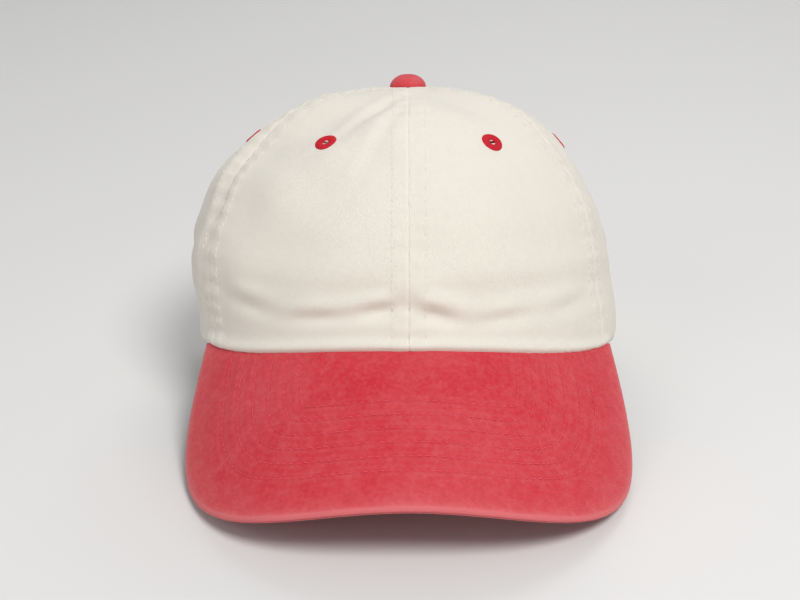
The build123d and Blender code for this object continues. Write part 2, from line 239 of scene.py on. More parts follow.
class Crown:
    """The soft crown as a surface: azimuth round the cap and run up the cloth from the hem."""

    def __init__(self, settings, visor_settings):
        self.settings = settings
        visor = Visor(visor_settings, settings)
        span = np.linspace(-visor_settings.span, visor_settings.span, 181)
        seam = visor.point(visor.seam(span), visor_settings.thickness / 2)
        self.seam_turn = np.arctan2(seam[:, 0], -seam[:, 1])
        self.seam_height = seam[:, 2]
        wall, dome = 40, 2400
        angle = np.linspace(0, math.pi / 2, dome)
        r = settings.radius * np.cos(angle) ** (2 / settings.plan_power)
        z = settings.height * np.sin(angle) ** (2 / settings.rise_power)
        r = np.concatenate([np.full(wall, settings.radius), r])
        z = np.concatenate([np.linspace(-settings.hem_drop, 0, wall, endpoint=False), z])
        self.runs = np.concatenate([[0], np.cumsum(np.hypot(np.diff(r), np.diff(z)))])
        self.r, self.z = r, z
        dr, dz = np.gradient(r, self.runs), np.gradient(z, self.runs)
        self.out = dz / np.hypot(dr, dz), -dr / np.hypot(dr, dz)
        noise = np.random.default_rng(SEED)
        waves, shortest, longest = 14, 0.028, 0.075
        self.waves = noise.normal(size=(waves, 3)) * 2 * math.pi / noise.uniform(shortest, longest, (waves, 1))
        self.phases = noise.uniform(0, 2 * math.pi, waves)

    def run_at(self, height):
        """Run of the cloth at a height."""
        return np.interp(height, self.z, self.runs)

    def run_at_radius(self, radius):
        return np.interp(-radius, -self.r, self.runs)

    def radius(self, run):
        return np.interp(run, self.runs, self.r)

    def radius_at(self, height):
        return np.interp(height, self.z, self.r)

    def seam_distance(self, azimuth, run):
        """Signed distance to the nearest seam, and that seam's number."""
        turns = (azimuth - FRONT) / PANEL_TURN
        nearest = np.round(turns)
        return (turns - nearest) * PANEL_TURN * self.radius(run), nearest % PANELS

    def relief(self, azimuth, run):
        """How far the cloth stands out from the plain dome."""
        z = np.interp(run, self.runs, self.z)
        out = self.panel_shape(azimuth, z) + self.slump(azimuth, z)
        out += self.seam_relief(azimuth, run) + self.fold_relief(azimuth, run)
        out += self.unevenness(azimuth, run, z) + self.edge_relief(azimuth, z)
        return soft_floor(out, DEEPEST_DENT)

    def panel_shape(self, azimuth, z):
        """The stiff seams stand out a little from the middle of each panel."""
        stand = 0.0005
        share = ((azimuth - FRONT) / PANEL_TURN % 1) * 2 - 1
        high = smooth(z, 0.025, 0.075) * (1 - smooth(z, 0.098, 0.1045))
        return stand * high * (1 - np.cos(math.pi * share))

    def slump(self, azimuth, z):
        """The soft crown bulges on the wearer's right, lies in on the left and is full at its shoulders."""
        bulge, hollow, shoulder = 0.0048, 0.0034, 0.0010
        left = np.clip(np.cos(azimuth), 0, 1) ** 1.5
        right = np.clip(-np.cos(azimuth), 0, 1) ** 1.5
        body = smooth(z, 0.002, 0.030) * (1 - smooth(z, 0.060, 0.098))
        return (bulge * right - hollow * left) * body + shoulder * bell(z - 0.089, 0.013)

    def seam_relief(self, azimuth, run):
        """The turned-in cloth beside a seam, the groove along it, its stitches' pull and its puckers."""
        turned_in, groove, pull = 0.0003, 0.00036, 0.00012
        dimple_pitch, pucker_pitch = 0.0061, 0.0076
        across, seam = self.seam_distance(azimuth, run)
        away, row = np.abs(across), self.settings.topstitch
        out = turned_in * (1 - smooth(away, row - 0.0002, row + 0.0012))
        dimples = 0.7 + 0.3 * np.sin(2 * math.pi * run / dimple_pitch + 3 * np.sin(run * 60))
        out -= groove * dimples * bell(across, 0.00055)
        out -= pull * bell(away - row, 0.0007)
        pucker = np.where(seam == SEAM_NAMES.index("front_right"), 0.00042, 0.00024)
        ripple = np.sin(2 * math.pi * run / pucker_pitch + 2.1 * np.sin(run * 95 + seam * 2.3) + seam)
        out += pucker * ripple * bell(away - 0.0035, 0.0045)
        return out * smooth(self.radius(run), 0.004, 0.018)

    def fold_relief(self, azimuth, run):
        """The folds and dents, each a hollow with a softer ridge above it."""
        ridge, ridge_away = 0.55, 1.7
        r = self.radius(run)
        out = np.zeros(np.shape(run))
        for place, height, length, width, lean, depth in FOLDS:
            centre = self.run_at(height)
            side = wrapped(azimuth - FRONT - math.radians(place)) * np.minimum(r, self.radius(centre) * 1.2)
            rise = run - centre
            cos, sin = math.cos(math.radians(lean)), math.sin(math.radians(lean))
            along, over = side * cos + rise * sin, rise * cos - side * sin
            section = bell(over, width) - ridge * bell(over - ridge_away * width, width)
            out -= depth * bell(along, length) * section
        return out

    def unevenness(self, azimuth, run, z):
        """Slight waves all over, which fade out at the hem."""
        height = 0.00016
        r = self.radius(run)
        point = np.stack([r * np.cos(azimuth), r * np.sin(azimuth), z + 0 * azimuth], -1)
        return height * np.sin(point @ self.waves.T + self.phases).sum(-1) * smooth(z, 0.004, 0.03)

    def edge_relief(self, azimuth, z):
        """The sweatband's top showing through, the overhang at the visor's seam, and the turned hem."""
        band_ridge, band_hollow = 0.0008, 0.0004
        overhang, undercut, hem = 0.0017, 0.0006, 0.0006
        turned = wrapped(azimuth - FRONT)
        band = band_ridge * bell(z - 0.0335, 0.007) * (1 - 0.6 * bell(turned, 0.5))
        band -= band_hollow * bell(z - 0.0245, 0.004)
        above = z - np.interp(turned, self.seam_turn, self.seam_height)
        end = self.seam_turn[-1]
        at_visor = smooth(-np.abs(turned), -end - 0.03, -end + 0.03)
        lip = overhang * bell(above - 0.0022, 0.0022) - undercut * bell(above + 0.0006, 0.0009)
        return band + at_visor * lip - hem * bell(z + self.settings.hem_drop, 0.0012)

    def point(self, azimuth, run, inset=0.0, soft=1.0):
        """Points on the cloth in the cap's own axes, inset towards the head."""
        azimuth, run, inset = np.broadcast_arrays(azimuth, run, inset)
        lift = soft * self.relief(azimuth, run) - inset
        out_r = np.interp(run, self.runs, self.out[0])
        out_z = np.interp(run, self.runs, self.out[1])
        r = self.radius(run) + lift * out_r
        z = np.interp(run, self.runs, self.z) + lift * out_z
        return np.stack([r * np.cos(azimuth), r * np.sin(azimuth), z], -1)

    def normal(self, azimuth, run):
        out_r = np.interp(run, self.runs, self.out[0])
        out_z = np.interp(run, self.runs, self.out[1])
        return np.stack([out_r * np.cos(azimuth), out_r * np.sin(azimuth), out_z + 0 * azimuth], -1)

    def arch_centre(self):
        s = self.settings
        return s.opening_height - s.hem_drop - s.opening

    def foot(self, azimuth):
        """Run of the cloth's lower edge, which rises over the back opening.

        The dome narrows as the arch rises, so the arch's height is found in steps."""
        s = self.settings
        side = np.abs(wrapped(azimuth - BACK))
        height = np.full(np.shape(azimuth), 0.02)
        for _ in range(12):
            x = self.radius_at(height) * np.sin(side)
            inside = (x < s.opening) & (side < 1)
            arch = self.arch_centre() + np.sqrt(np.maximum(s.opening**2 - x**2, 0))
            height = np.where(inside, arch, height)
        return self.run_at(np.where(inside, height, -s.hem_drop))


# ---------------------------------------------------------------- shape of the visor

class Visor:
    """The visor as a curved surface: x across, v forwards down its slope, n out of its middle."""

    def __init__(self, settings, crown):
        self.settings, self.crown = settings, crown
        self.sin, self.cos = math.sin(settings.slope), math.cos(settings.slope)
        depth = crown.radius * (1 - math.cos(settings.span))
        sag = depth * self.sin + crown.hem_drop * self.cos
        self.end = crown.radius * math.sin(settings.span)
        self.bend = (self.end**2 + sag**2) / (2 * sag)
        self.start = (sag * self.sin - depth) / self.cos

    def sweep(self, count):
        """Angles along the outline, short of its two ends."""
        end = 0.02
        return np.linspace(end, math.pi - end, count)

    def outline(self, phi, inset=0.0):
        """The visor's edge, flat, as a squared ellipse that tucks in towards the crown."""
        s = self.settings
        across, ahead = np.cos(phi), np.sin(phi)
        spread = (np.abs(across) ** s.power + np.abs(ahead) ** s.power) ** (1 / s.power)
        across, ahead = across / spread, ahead / spread
        half = s.half_width - inset
        tuck = 1 - (self.end - inset) / half
        x = half * across * (1 - tuck * (1 - ahead) ** 2)
        return np.stack([x, self.start + (s.length - inset - self.start) * ahead], -1)

    def start_phi(self, inset):
        """Where the outline, inset, comes out of the crown."""
        phi = np.linspace(0, 0.8, 900)
        cap = self.point(self.outline(phi, inset), 0.0)
        return float(np.interp(self.crown.radius, np.hypot(cap[:, 0], cap[:, 1]), phi))

    def seam(self, theta, tuck_in=0.0):
        """The line where the visor meets the crown, from the azimuth off the centre front."""
        radius = self.crown.radius - tuck_in
        x, y = radius * np.sin(theta), -radius * np.cos(theta)
        sag = self.bend - np.sqrt(self.bend**2 - x**2)
        return np.stack([x, -(y + self.crown.radius - sag * self.sin) / self.cos], -1)

    def point(self, flat, n):
        """Points of the bent visor in the cap's own axes."""
        lean = np.arcsin(np.clip(flat[..., 0] / self.bend, -1, 1))
        x = (self.bend + n) * np.sin(lean)
        rise = (self.bend + n) * np.cos(lean) - self.bend
        v = flat[..., 1]
        return np.stack([x, -self.crown.radius - v * self.cos - rise * self.sin,
                         -v * self.sin + rise * self.cos], -1)

    def edge_distance(self, flat):
        """Distance in from the outline."""
        edge = self.outline(self.sweep(500))
        gap = np.linalg.norm(flat[..., None, :] - edge, axis=-1)
        return gap.min(-1)

    def row_path(self, distance):
        """A stitched row at a distance in from the edge, as points of the flat visor."""
        edge = self.outline(self.sweep(1200))
        along = np.gradient(edge, axis=0)
        inward = np.stack([-along[:, 1], along[:, 0]], -1)
        inward /= np.linalg.norm(inward, axis=1)[:, None]
        row = edge + inward * distance
        keep = self.edge_distance(row) > distance - 0.0004
        cap = self.point(row, 0.0)
        keep &= np.hypot(cap[:, 0], cap[:, 1]) > self.crown.radius + 0.0012
        return row[keep]


# ---------------------------------------------------------------- mesh helpers

def make_piece(name, points, faces, material, body, nodes=(), cloth=None, thickness=0.0,
               own_axes=True):
    """A smooth piece from points in the cap's own axes, riding on a body."""
    points = np.asarray(points).reshape(-1, 3)
    if own_axes:
        points = to_row(points)
    mesh = bpy.data.meshes.new(name)
    mesh.from_pydata(points.tolist(), [], [list(map(int, f)) for f in faces])
    if cloth is not None:
        attribute = mesh.attributes.new("cloth", "FLOAT_VECTOR", "POINT")
        attribute.data.foreach_set("vector", np.asarray(cloth, np.float32).reshape(-1))
    mesh.materials.append(material)
    mesh.validate()
    mesh.shade_smooth()
    piece = bpy.data.objects.new(name, mesh)
    bpy.context.scene.collection.objects.link(piece)
    if thickness:
        solid = piece.modifiers.new("Cloth thickness", "SOLIDIFY")
        solid.thickness = thickness
        solid.offset = -1
        solid.use_even_offset = False
    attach(piece, body)
    if nodes:
        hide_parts(*nodes)
    return piece


def grid_faces(columns, rows, closed=False, flip=False, first=0):
    """Quads of a grid whose points run along the rows first."""
    faces = []
    for i in range(columns if closed else columns - 1):
        here, there = first + i * rows, first + (i + 1) % columns * rows
        for j in range(rows - 1):
            quad = (here + j, there + j, there + j + 1, here + j + 1)
            faces.append(quad[::-1] if flip else quad)
    return faces


def tube_faces(columns, rows, closed=False):
    """Faces of a grid whose rows close on themselves, with flat ends unless the columns close too."""
    faces = grid_faces(columns, rows, closed)
    for i in range(columns if closed else columns - 1):
        here, there = i * rows, (i + 1) % columns * rows
        faces.append((here + rows - 1, there + rows - 1, there, here))
    if not closed:
        faces.append(tuple(range(rows))[::-1])
        faces.append(tuple(range((columns - 1) * rows, columns * rows)))
    return faces


def resample(path, step):
    """Points a step apart along a path, with whatever follows the first three columns carried along."""
    path = np.asarray(path)
    length = np.concatenate([[0], np.cumsum(np.linalg.norm(np.diff(path[:, :3], axis=0), axis=1))])
    count = max(2, int(length[-1] / step))
    where = np.linspace(0, length[-1], count)
    return np.stack([np.interp(where, length, path[:, k]) for k in range(path.shape[1])], -1)


def stitches(rows, pitch=0.003, fill=0.76, radius=0.00022):
    """Points and faces of short threads that dip into the cloth at each end.

    Each row is a path and the cloth's normals along it, in the cap's own axes."""
    sides, rings = 6, 7
    noise = np.random.default_rng(SEED)
    bow = np.linspace(0, 1, rings)[:, None]
    arch = np.sin(bow * math.pi) ** 0.7
    fat = (radius * (0.55 + 0.45 * arch))[:, None]
    lift = (arch * 1.5 - 0.9) * radius
    ring = circle(sides)[:, None]
    points, faces = [], []
    for path, normals in rows:
        both = resample(np.hstack([path, normals]), pitch)
        starts, outs = both[:-1, :3], both[:-1, 3:]
        steps = (both[1:, :3] - starts) * (fill + noise.uniform(-0.05, 0.05, (len(starts), 1)))
        outs = outs / np.linalg.norm(outs, axis=1)[:, None]
        sides_out = np.cross(steps, outs)
        sides_out /= np.linalg.norm(sides_out, axis=1)[:, None]
        for start, step, out, side in zip(starts, steps, outs, sides_out):
            first = len(points) * sides * rings
            middle = start + bow * step + lift * out
            shell = middle[:, None] + fat * (np.cos(ring) * out + np.sin(ring) * side)
            points.append(shell.reshape(-1, 3))
            for i in range(rings - 1):
                for k in range(sides):
                    here, after = first + i * sides, first + (i + 1) * sides
                    faces.append((here + k, here + (k + 1) % sides, after + (k + 1) % sides, after + k))
            faces.append(tuple(first + k for k in range(sides))[::-1])
            faces.append(tuple(first + (rings - 1) * sides + k for k in range(sides)))
    return np.concatenate(points), faces


def patch(crown, low, high, offset, thickness, middle, width=None, turn_by=None, columns=9, rows=24,
          edge=6, soft=1.0):
    """Points, faces and cloth places of a closed strip inside the crown, with rounded edges.

    It runs from run low to run high, round a middle azimuth, by a width or by a turn."""
    u = np.linspace(-1, 1, columns)[:, None]
    t = np.linspace(0, 1, rows)[None, :]
    run = low + (high - low) * t + 0 * u
    half = turn_by / 2 if turn_by else np.minimum(width / 2 / crown.radius(run), PANEL_TURN / 2)
    azimuth = middle + u * half
    full = np.clip((1 - np.abs(u) ** edge) * (1 - np.abs(2 * t - 1) ** (edge * 3)), 0, 1) ** 0.35
    outer = crown.point(azimuth, run, offset + thickness / 2 * (1 - full), soft)
    inner = crown.point(azimuth, run, offset + thickness / 2 * (1 + full), soft)
    points = np.concatenate([outer.reshape(-1, 3), inner.reshape(-1, 3)])
    count = columns * rows
    faces = grid_faces(columns, rows) + grid_faces(columns, rows, flip=True, first=count)
    faces = weld_rim(faces, columns, rows, count)
    cloth = np.stack([(azimuth - middle) * crown.radius(run), run, 0 * run], -1).reshape(-1, 3)
    return points, faces, np.concatenate([cloth, cloth])


def weld_rim(faces, columns, rows, count):
    """Joins the second grid's rim to the first grid's."""
    rim = set()
    for i in range(columns):
        rim.update((i * rows, i * rows + rows - 1))
    for j in range(rows):
        rim.update((j, (columns - 1) * rows + j))
    return [tuple(k - count if k >= count and k - count in rim else k for k in f) for f in faces]


def without_loose(points, faces, cloth):
    """Drops points that no face uses."""
    used = np.unique(np.concatenate([np.asarray(f) for f in faces]))
    place = -np.ones(len(points), int)
    place[used] = np.arange(len(used))
    return points[used], [tuple(place[list(f)]) for f in faces], cloth[used]


def patch_piece(name, crown, material, body, nodes, slot, **shape):
    """A piece from a strip inside the crown."""
    points, faces, cloth = without_loose(*patch(crown, **shape))
    return make_piece(name, points, faces, material, body, nodes, cloth)


# ---------------------------------------------------------------- shader maths

class Wire:
    """A socket that can be used in Python arithmetic: each operation adds a Math node."""

    def __init__(self, shader, socket):
        self.shader, self.socket = shader, socket

    def _math(self, operation, other=None, flip=False):
        values = {0: self.socket} if other is None else {0: self.socket, 1: unwrap(other)}
        if flip:
            values = {0: unwrap(other), 1: self.socket}
        return self.shader.node("ShaderNodeMath", {"operation": operation}, values)

    def __add__(self, other): return self._math("ADD", other)
    def __radd__(self, other): return self._math("ADD", other, True)
    def __sub__(self, other): return self._math("SUBTRACT", other)
    def __rsub__(self, other): return self._math("SUBTRACT", other, True)
    def __mul__(self, other): return self._math("MULTIPLY", other)
    def __rmul__(self, other): return self._math("MULTIPLY", other, True)
    def sin(self): return self._math("SINE")
    def low(self, other): return self._math("MINIMUM", other)

    def ramp(self, low, high):
        """0 at low, 1 at high, smooth between."""
        settings = {"interpolation_type": "SMOOTHSTEP", "clamp": True}
        return self.shader.node("ShaderNodeMapRange", settings, {"Value": self.socket, 1: low, 2: high})


def unwrap(value):
    return value.socket if isinstance(value, Wire) else value


class Shader:
    """A material under construction."""

    def __init__(self, name, **constants):
        self.material = bpy.data.materials.new(name)
        self.material.use_nodes = True
        self.tree = self.material.node_tree
        self.surface = self.tree.nodes["Principled BSDF"]
        for socket, value in constants.items():
            self.surface.inputs[socket.replace("_", " ")].default_value = value

    def node(self, kind, settings=None, values=None, output=0):
        """Any node, from its type, its settings and the values or links of its sockets."""
        made = self.tree.nodes.new(kind)
        for key, value in (settings or {}).items():
            setattr(made, key, value)
        for key, value in (values or {}).items():
            value = unwrap(value)
            if isinstance(value, bpy.types.NodeSocket):
                self.tree.links.new(value, made.inputs[key])
            else:
                made.inputs[key].default_value = value
        return Wire(self, made.outputs[output])

    def cloth(self):
        """Position on the flat cloth, which the meshes carry as an attribute."""
        return self.node("ShaderNodeAttribute", {"attribute_name": "cloth"}, output=1)

    def place(self):
        """Position in the object's own space."""
        return self.node("ShaderNodeTexCoord", output=3)

    def axes(self, vector):
        split = self.node("ShaderNodeSeparateXYZ", {}, {0: vector}).socket.node
        return [Wire(self, output) for output in split.outputs]

    def noise(self, vector, scale, detail=2.0, roughness=0.5):
        values = {"Vector": vector, "Scale": scale, "Detail": detail, "Roughness": roughness}
        return self.node("ShaderNodeTexNoise", {"noise_dimensions": "3D"}, values)

    def cells(self, vector, scale):
        return self.node("ShaderNodeTexVoronoi", {"feature": "F1"}, {"Vector": vector, "Scale": scale})

    def mix(self, factor, first, second, blend="MIX"):
        values = {0: factor, 6: first, 7: second}
        return self.node("ShaderNodeMix", {"data_type": "RGBA", "blend_type": blend}, values, output=2)

    def bump(self, height, distance, strength=1.0):
        return self.node("ShaderNodeBump", {}, {"Height": height, "Distance": distance, "Strength": strength})

    def finish(self, **sockets):
        for socket, value in sockets.items():
            self.tree.links.new(unwrap(value), self.surface.inputs[socket.replace("_", " ")])
        return self.material


def opaque(rgb, gain=1.0):
    return tuple(min(1.0, c * gain) for c in rgb) + (1.0,)


def washed_twill(name, base, faded, fade_scale=1.0):
    """Garment-washed cotton twill: diagonal weave, uneven fading, a soft nap, and paler cloth where the meshes
    say. That is wear, and along the crown's seams and the visor's edge it is also a painted highlight.
    """
    pitch, shadow = 0.00085, (0.62, 0.62, 0.62)
    s = Shader(name, Sheen_Weight=0.12, Sheen_Roughness=0.45, Specular_IOR_Level=0.22)
    u, v, paler_share = s.axes(s.cloth())
    place = s.place()
    rib = ((u * 0.8 + v) * (2 * math.pi / pitch)).sin() * 0.5 + 0.5
    yarn = ((v * 0.8 - u) * (2 * math.pi / (pitch * 0.62))).sin() * 0.5 + 0.5
    slub = s.noise(place, 900.0, 3.0)
    weave = rib * 0.7 + yarn * 0.3
    clouds = s.noise(place, 26.0, 4.0, 0.62).ramp(0.36, 0.66)
    specks = s.noise(place, 210.0, 3.0, 0.7).ramp(0.40, 0.70)
    fine = s.noise(place, 620.0, 3.0, 0.75).ramp(0.38, 0.72)
    # Fading from noise, and paler by the cloth's third value: wear, and on the crown's seams and the visor's edge
    # a painted highlight.
    fade_and_highlight = ((clouds * 0.14 + specks * 0.16 + fine * 0.20) * fade_scale + paler_share * 0.9).low(1.0)
    paleness = s.mix(fade_and_highlight, opaque(base), opaque(faded))
    threads = s.mix(0.22 * weave + 0.18 * slub, paleness, s.mix(1.0, paleness, opaque(shadow), "MULTIPLY"))
    height = weave * 0.6 + slub * 0.5 + specks * 0.25
    roughness = 0.86 + 0.12 * specks
    return s.finish(Base_Color=threads, Roughness=roughness, Normal=s.bump(height, 0.00016, 0.55))


def thread_finish(name, colour_value):
    """Twisted thread with uneven colour."""
    s = Shader(name, Specular_IOR_Level=0.1)
    place = s.place()
    twist = s.noise(place, 2600.0, 1.0)
    tone = s.noise(place, 180.0, 2.0)
    shade = s.mix(twist * 0.5 + tone * 0.3, opaque(colour_value, 0.75), opaque(colour_value, 1.25))
    return s.finish(Base_Color=shade, Roughness=0.55 + 0.3 * twist, Normal=s.bump(twist, 0.0001, 0.6))


def plain_weave(name, colour_value, pitch=0.0008):
    """Cotton tape: over-and-under weave with small slubs."""
    s = Shader(name, Sheen_Weight=0.2, Specular_IOR_Level=0.2)
    u, v, _ = s.axes(s.cloth())
    wave = 2 * math.pi / pitch
    weave = (u * wave).sin() * (v * wave).sin() * 0.5 + 0.5
    slub = s.noise(s.place(), 700.0, 3.0)
    stains = s.noise(s.place(), 40.0, 3.0).ramp(0.45, 0.75)
    tone = s.mix(weave * 0.35 + slub * 0.25, opaque(colour_value), opaque(colour_value, 0.72))
    stained = opaque([c * keep for c, keep in zip(colour_value, (0.85, 0.8, 0.68))])
    tone = s.mix(stains * 0.25, tone, stained)
    relief = s.bump(weave + slub * 0.5, 0.00015, 0.6)
    return s.finish(Base_Color=tone, Roughness=0.85 + 0.1 * slub, Normal=relief)


def aged_metal(name, colour_value, tarnish, roughness):
    """Cast metal, bright with dull tarnished patches in an uneven cloud, and fine scratches."""
    s = Shader(name, Specular_IOR_Level=0.5)
    place = s.place()
    cloud = s.noise(place, 120.0, 4.0, 0.6).ramp(0.35, 0.7)
    stretch = {"Vector": place, "Scale": (60.0, 900.0, 900.0)}
    stretched = s.node("ShaderNodeMapping", {"vector_type": "POINT"}, stretch)
    scratch = s.noise(stretched, 3.0, 4.0, 0.7).ramp(0.5, 0.8)
    tone = s.mix(cloud, opaque(colour_value), opaque(tarnish))
    rough = roughness + 0.22 * cloud + 0.12 * scratch
    relief = s.bump(scratch + cloud * 0.3, 0.00008, 0.4)
    return s.finish(Base_Color=tone, Roughness=rough, Metallic=1.0 - 0.15 * cloud, Normal=relief)


def moulded_plastic(name, colour_value, grain=1400.0):
    """Moulded shell with a fine spark-eroded grain."""
    s = Shader(name, Specular_IOR_Level=0.4)
    place = s.place()
    fine = s.cells(place, grain)
    scuff = s.noise(place, 60.0, 5.0, 0.7).ramp(0.5, 0.75)
    tone = s.mix(scuff * 0.5, opaque(colour_value), opaque(tuple(c * 1.5 + 0.02 for c in colour_value)))
    return s.finish(Base_Color=tone, Roughness=0.42 + 0.2 * scuff, Normal=s.bump(fine, 0.0002, 0.35))


def cell_foam(name, colour_value):
    """Closed-cell foam skin."""
    s = Shader(name, Specular_IOR_Level=0.2)
    place = s.place()
    cells = s.cells(place, 900.0)
    cloud = s.noise(place, 70.0, 3.0)
    tone = s.mix(cells * 0.6 + cloud * 0.3, opaque(colour_value, 1.35), opaque(colour_value, 0.7))
    return s.finish(Base_Color=tone, Roughness=0.82 + 0.12 * cloud, Normal=s.bump(cells, 0.0004, 0.7))


def hook_finish(name, colour_value):
    """Rows of tiny hooks and loops."""
    s = Shader(name, Sheen_Weight=0.3)
    u, v, _ = s.axes(s.cloth())
    rows = (u * 4200.0).sin() * (v * 4200.0).sin() * 0.5 + 0.5
    fluff = s.noise(s.place(), 1500.0, 3.0)
    tone = s.mix(rows * 0.5 + fluff * 0.4, opaque(colour_value), opaque(tuple(c + 0.06 for c in colour_value)))
    return s.finish(Base_Color=tone, Roughness=0.8 + 0.15 * fluff, Normal=s.bump(rows + fluff, 0.0004, 0.8))


def satin_label(name):
    """Blank woven label."""
    s = Shader(name, Sheen_Weight=0.3)
    u, v, _ = s.axes(s.cloth())
    ribs = (v * 9000.0).sin() * 0.5 + 0.5
    slub = s.noise(s.place(), 500.0, 2.0)
    tone = s.mix(ribs * 0.3 + slub * 0.3, (0.80, 0.79, 0.76, 1), (0.62, 0.61, 0.58, 1))
    return s.finish(Base_Color=tone, Roughness=0.45 + 0.3 * slub, Normal=s.bump(ribs, 0.0001, 0.4))


def floor_finish(name, colour_value):
    """Plain pale surface with a faint unevenness, whose backdrop glows more the higher it rises: painted light on
    its walls.
    """
    s = Shader(name, Specular_IOR_Level=0.3, Emission_Strength=0.35)
    place = s.place()
    cloud = s.noise(place, 3.0, 4.0)
    tone = s.mix(cloud * 0.5, opaque(colour_value), opaque(colour_value, 0.96))
    # Painted light: the backdrop glows more the higher it rises, standing in for light falling on its walls.
    glow = s.mix(s.axes(place)[2].ramp(0.05, 1.2), (0.0, 0.0, 0.0, 1.0), (0.95, 0.96, 1.0, 1.0))
    return s.finish(Base_Color=tone, Roughness=0.5 + 0.15 * cloud, Emission_Color=glow)


def material(name):
    """One of the cap's materials, made when first asked for."""
    if name in bpy.data.materials:
        return bpy.data.materials[name]
    f = bpy.context.scene.cap_finish
    makers = {
        "crown_cloth": lambda: washed_twill(name, f.crown, tuple(min(1, c * 1.10) for c in f.crown), 0.8),
        "red_cloth": lambda: washed_twill(name, f.red, f.faded),
        "red_thread": lambda: thread_finish(name, f.red_thread),
        "eyelet_thread": lambda: thread_finish(name, tuple(c * 0.9 for c in f.red)),
        "cream_thread": lambda: thread_finish(name, f.cream_thread),
        "seam_tape": lambda: plain_weave(name, f.tape),
        "sweatband_cotton": lambda: plain_weave(name, tuple(c * 0.96 for c in f.tape), 0.0007),
        "brass": lambda: aged_metal(name, f.brass, (0.22, 0.13, 0.05), 0.28),
        "tinned_steel": lambda: aged_metal(name, f.steel, (0.30, 0.29, 0.27), 0.32),
        "board": lambda: moulded_plastic(name, (0.62, 0.62, 0.60), 500.0),
        "shell_plastic": lambda: moulded_plastic(name, f.plastic),
        "foam": lambda: cell_foam(name, f.foam),
        "hook_tape": lambda: hook_finish(name, (0.02, 0.02, 0.022)),
        "label_tape": lambda: satin_label(name),
        "floor": lambda: floor_finish(name, f.floor),
    }
    return makers[name]()


# ---------------------------------------------------------------- operators

class BuildPart:
    """What every operator of this add-on shares."""
    bl_options = {"REGISTER", "UNDO"}

    def execute(self, context):
        self.crown = Crown(context.scene.cap_crown, context.scene.cap_visor)
        self.visor = Visor(context.scene.cap_visor, context.scene.cap_crown)
        self.build(context.scene)
        return {"FINISHED"}


def seam_shares(width):
    """Columns across a panel from -1 to 1, closer together beside the seams."""
    near = 1 - np.array([0.0003, 0.0007, 0.0012, 0.0020, 0.0030, 0.0042, 0.0056, 0.0066, 0.0076]) / width
    return np.unique(np.concatenate([np.linspace(-1, 1, 45), near, -near]))


def crown_wear_and_seam_highlight(crown, azimuth, run):
    """Where the cloth is painted paler: along its seams, which is wear and also a painted highlight, and at the
    hem, where it is rubbed.
    """
    seam_wear_and_highlight, at_hem = 0.5, 0.35
    across, _ = crown.seam_distance(azimuth, run)
    return seam_wear_and_highlight * bell(across, 0.0012) + at_hem * bell(run, 0.004)


class CAP_OT_crown_panels(BuildPart, bpy.types.Operator):
    """Sew the six panels of the crown"""
    bl_idname = "cap.crown_panels"
    bl_label = "Crown panels"

    def build(self, scene):
        for number in range(PANELS):
            self.panel(scene, number)

    def panel(self, scene, number):
        """One panel, with close rows of points up to the height of the arch and wider ones above."""
        low_rows, high_rows, arch_top, under_button = 49, 74, 0.048, 0.0027
        crown, s = self.crown, scene.cap_crown
        start = FRONT + PANEL_TURN * number
        share = seam_shares(s.radius * PANEL_TURN / 2)
        azimuth = start + PANEL_TURN * (share + 1) / 2
        if PANEL_NAMES[number].startswith("back"):
            azimuth = self.with_arch_columns(azimuth, number)
        foot = crown.foot(azimuth)[:, None]
        middle, top = crown.run_at(arch_top), crown.run_at_radius(under_button)
        low = foot + (middle - foot) * np.linspace(0, 1, low_rows, endpoint=False)
        run = np.concatenate([low, np.linspace(middle, top, high_rows) + 0 * foot], 1)
        rows = run.shape[1]
        azimuth = azimuth[:, None] + 0 * run
        points = crown.point(azimuth, run)
        across = (azimuth - start - PANEL_TURN / 2) * crown.radius(run)
        # The third cloth value paints the cloth paler: wear, and along the seams also a painted highlight.
        cloth = np.stack([across, run, crown_wear_and_seam_highlight(crown, azimuth, run)], -1).reshape(-1, 3)
        faces = grid_faces(len(points), rows)
        points = points.reshape(-1, 3)
        faces = self.with_eyelet_hole(points, faces, start + PANEL_TURN / 2, s)
        points, faces, cloth = without_loose(points, faces, cloth)
        name = PANEL_NAMES[number]
        make_piece(name + "_cloth", points, faces, material("crown_cloth"), "cap", [name],
                   cloth, thickness=s.cloth)

    def with_arch_columns(self, azimuth, number):
        """Columns that follow the back opening's curve and stand close at its straight sides."""
        s, hair = self.crown.settings, 0.00002
        side = 1 if number == PANEL_NAMES.index("back_panel_left") else -1
        curve = s.opening * np.sin(np.linspace(0.0, math.pi / 2, 26))
        inside = np.arcsin(curve / self.crown.radius_at(self.crown.arch_centre() + 0.02))
        edge = math.asin((s.opening + hair) / s.radius)
        inside[-1] = math.asin((s.opening - hair) / s.radius)
        inside = inside[inside < edge]
        beside = edge + np.array([0.0, 0.004, 0.012, 0.020])
        outside = np.abs(wrapped(azimuth - BACK))
        outside = outside[outside > edge + 0.004]
        columns = np.unique(np.concatenate([inside, beside, outside]).round(7))
        return np.sort(BACK - side * columns)

    def with_eyelet_hole(self, points, faces, azimuth, s):
        """Leaves out the faces under the panel's eyelet."""
        hole_radius = 0.0026
        centre = self.crown.point(azimuth, self.crown.run_at(s.eyelet_height))
        close = np.linalg.norm(points - centre, axis=1) < hole_radius
        return [f for f in faces if not close[list(f)].all()]


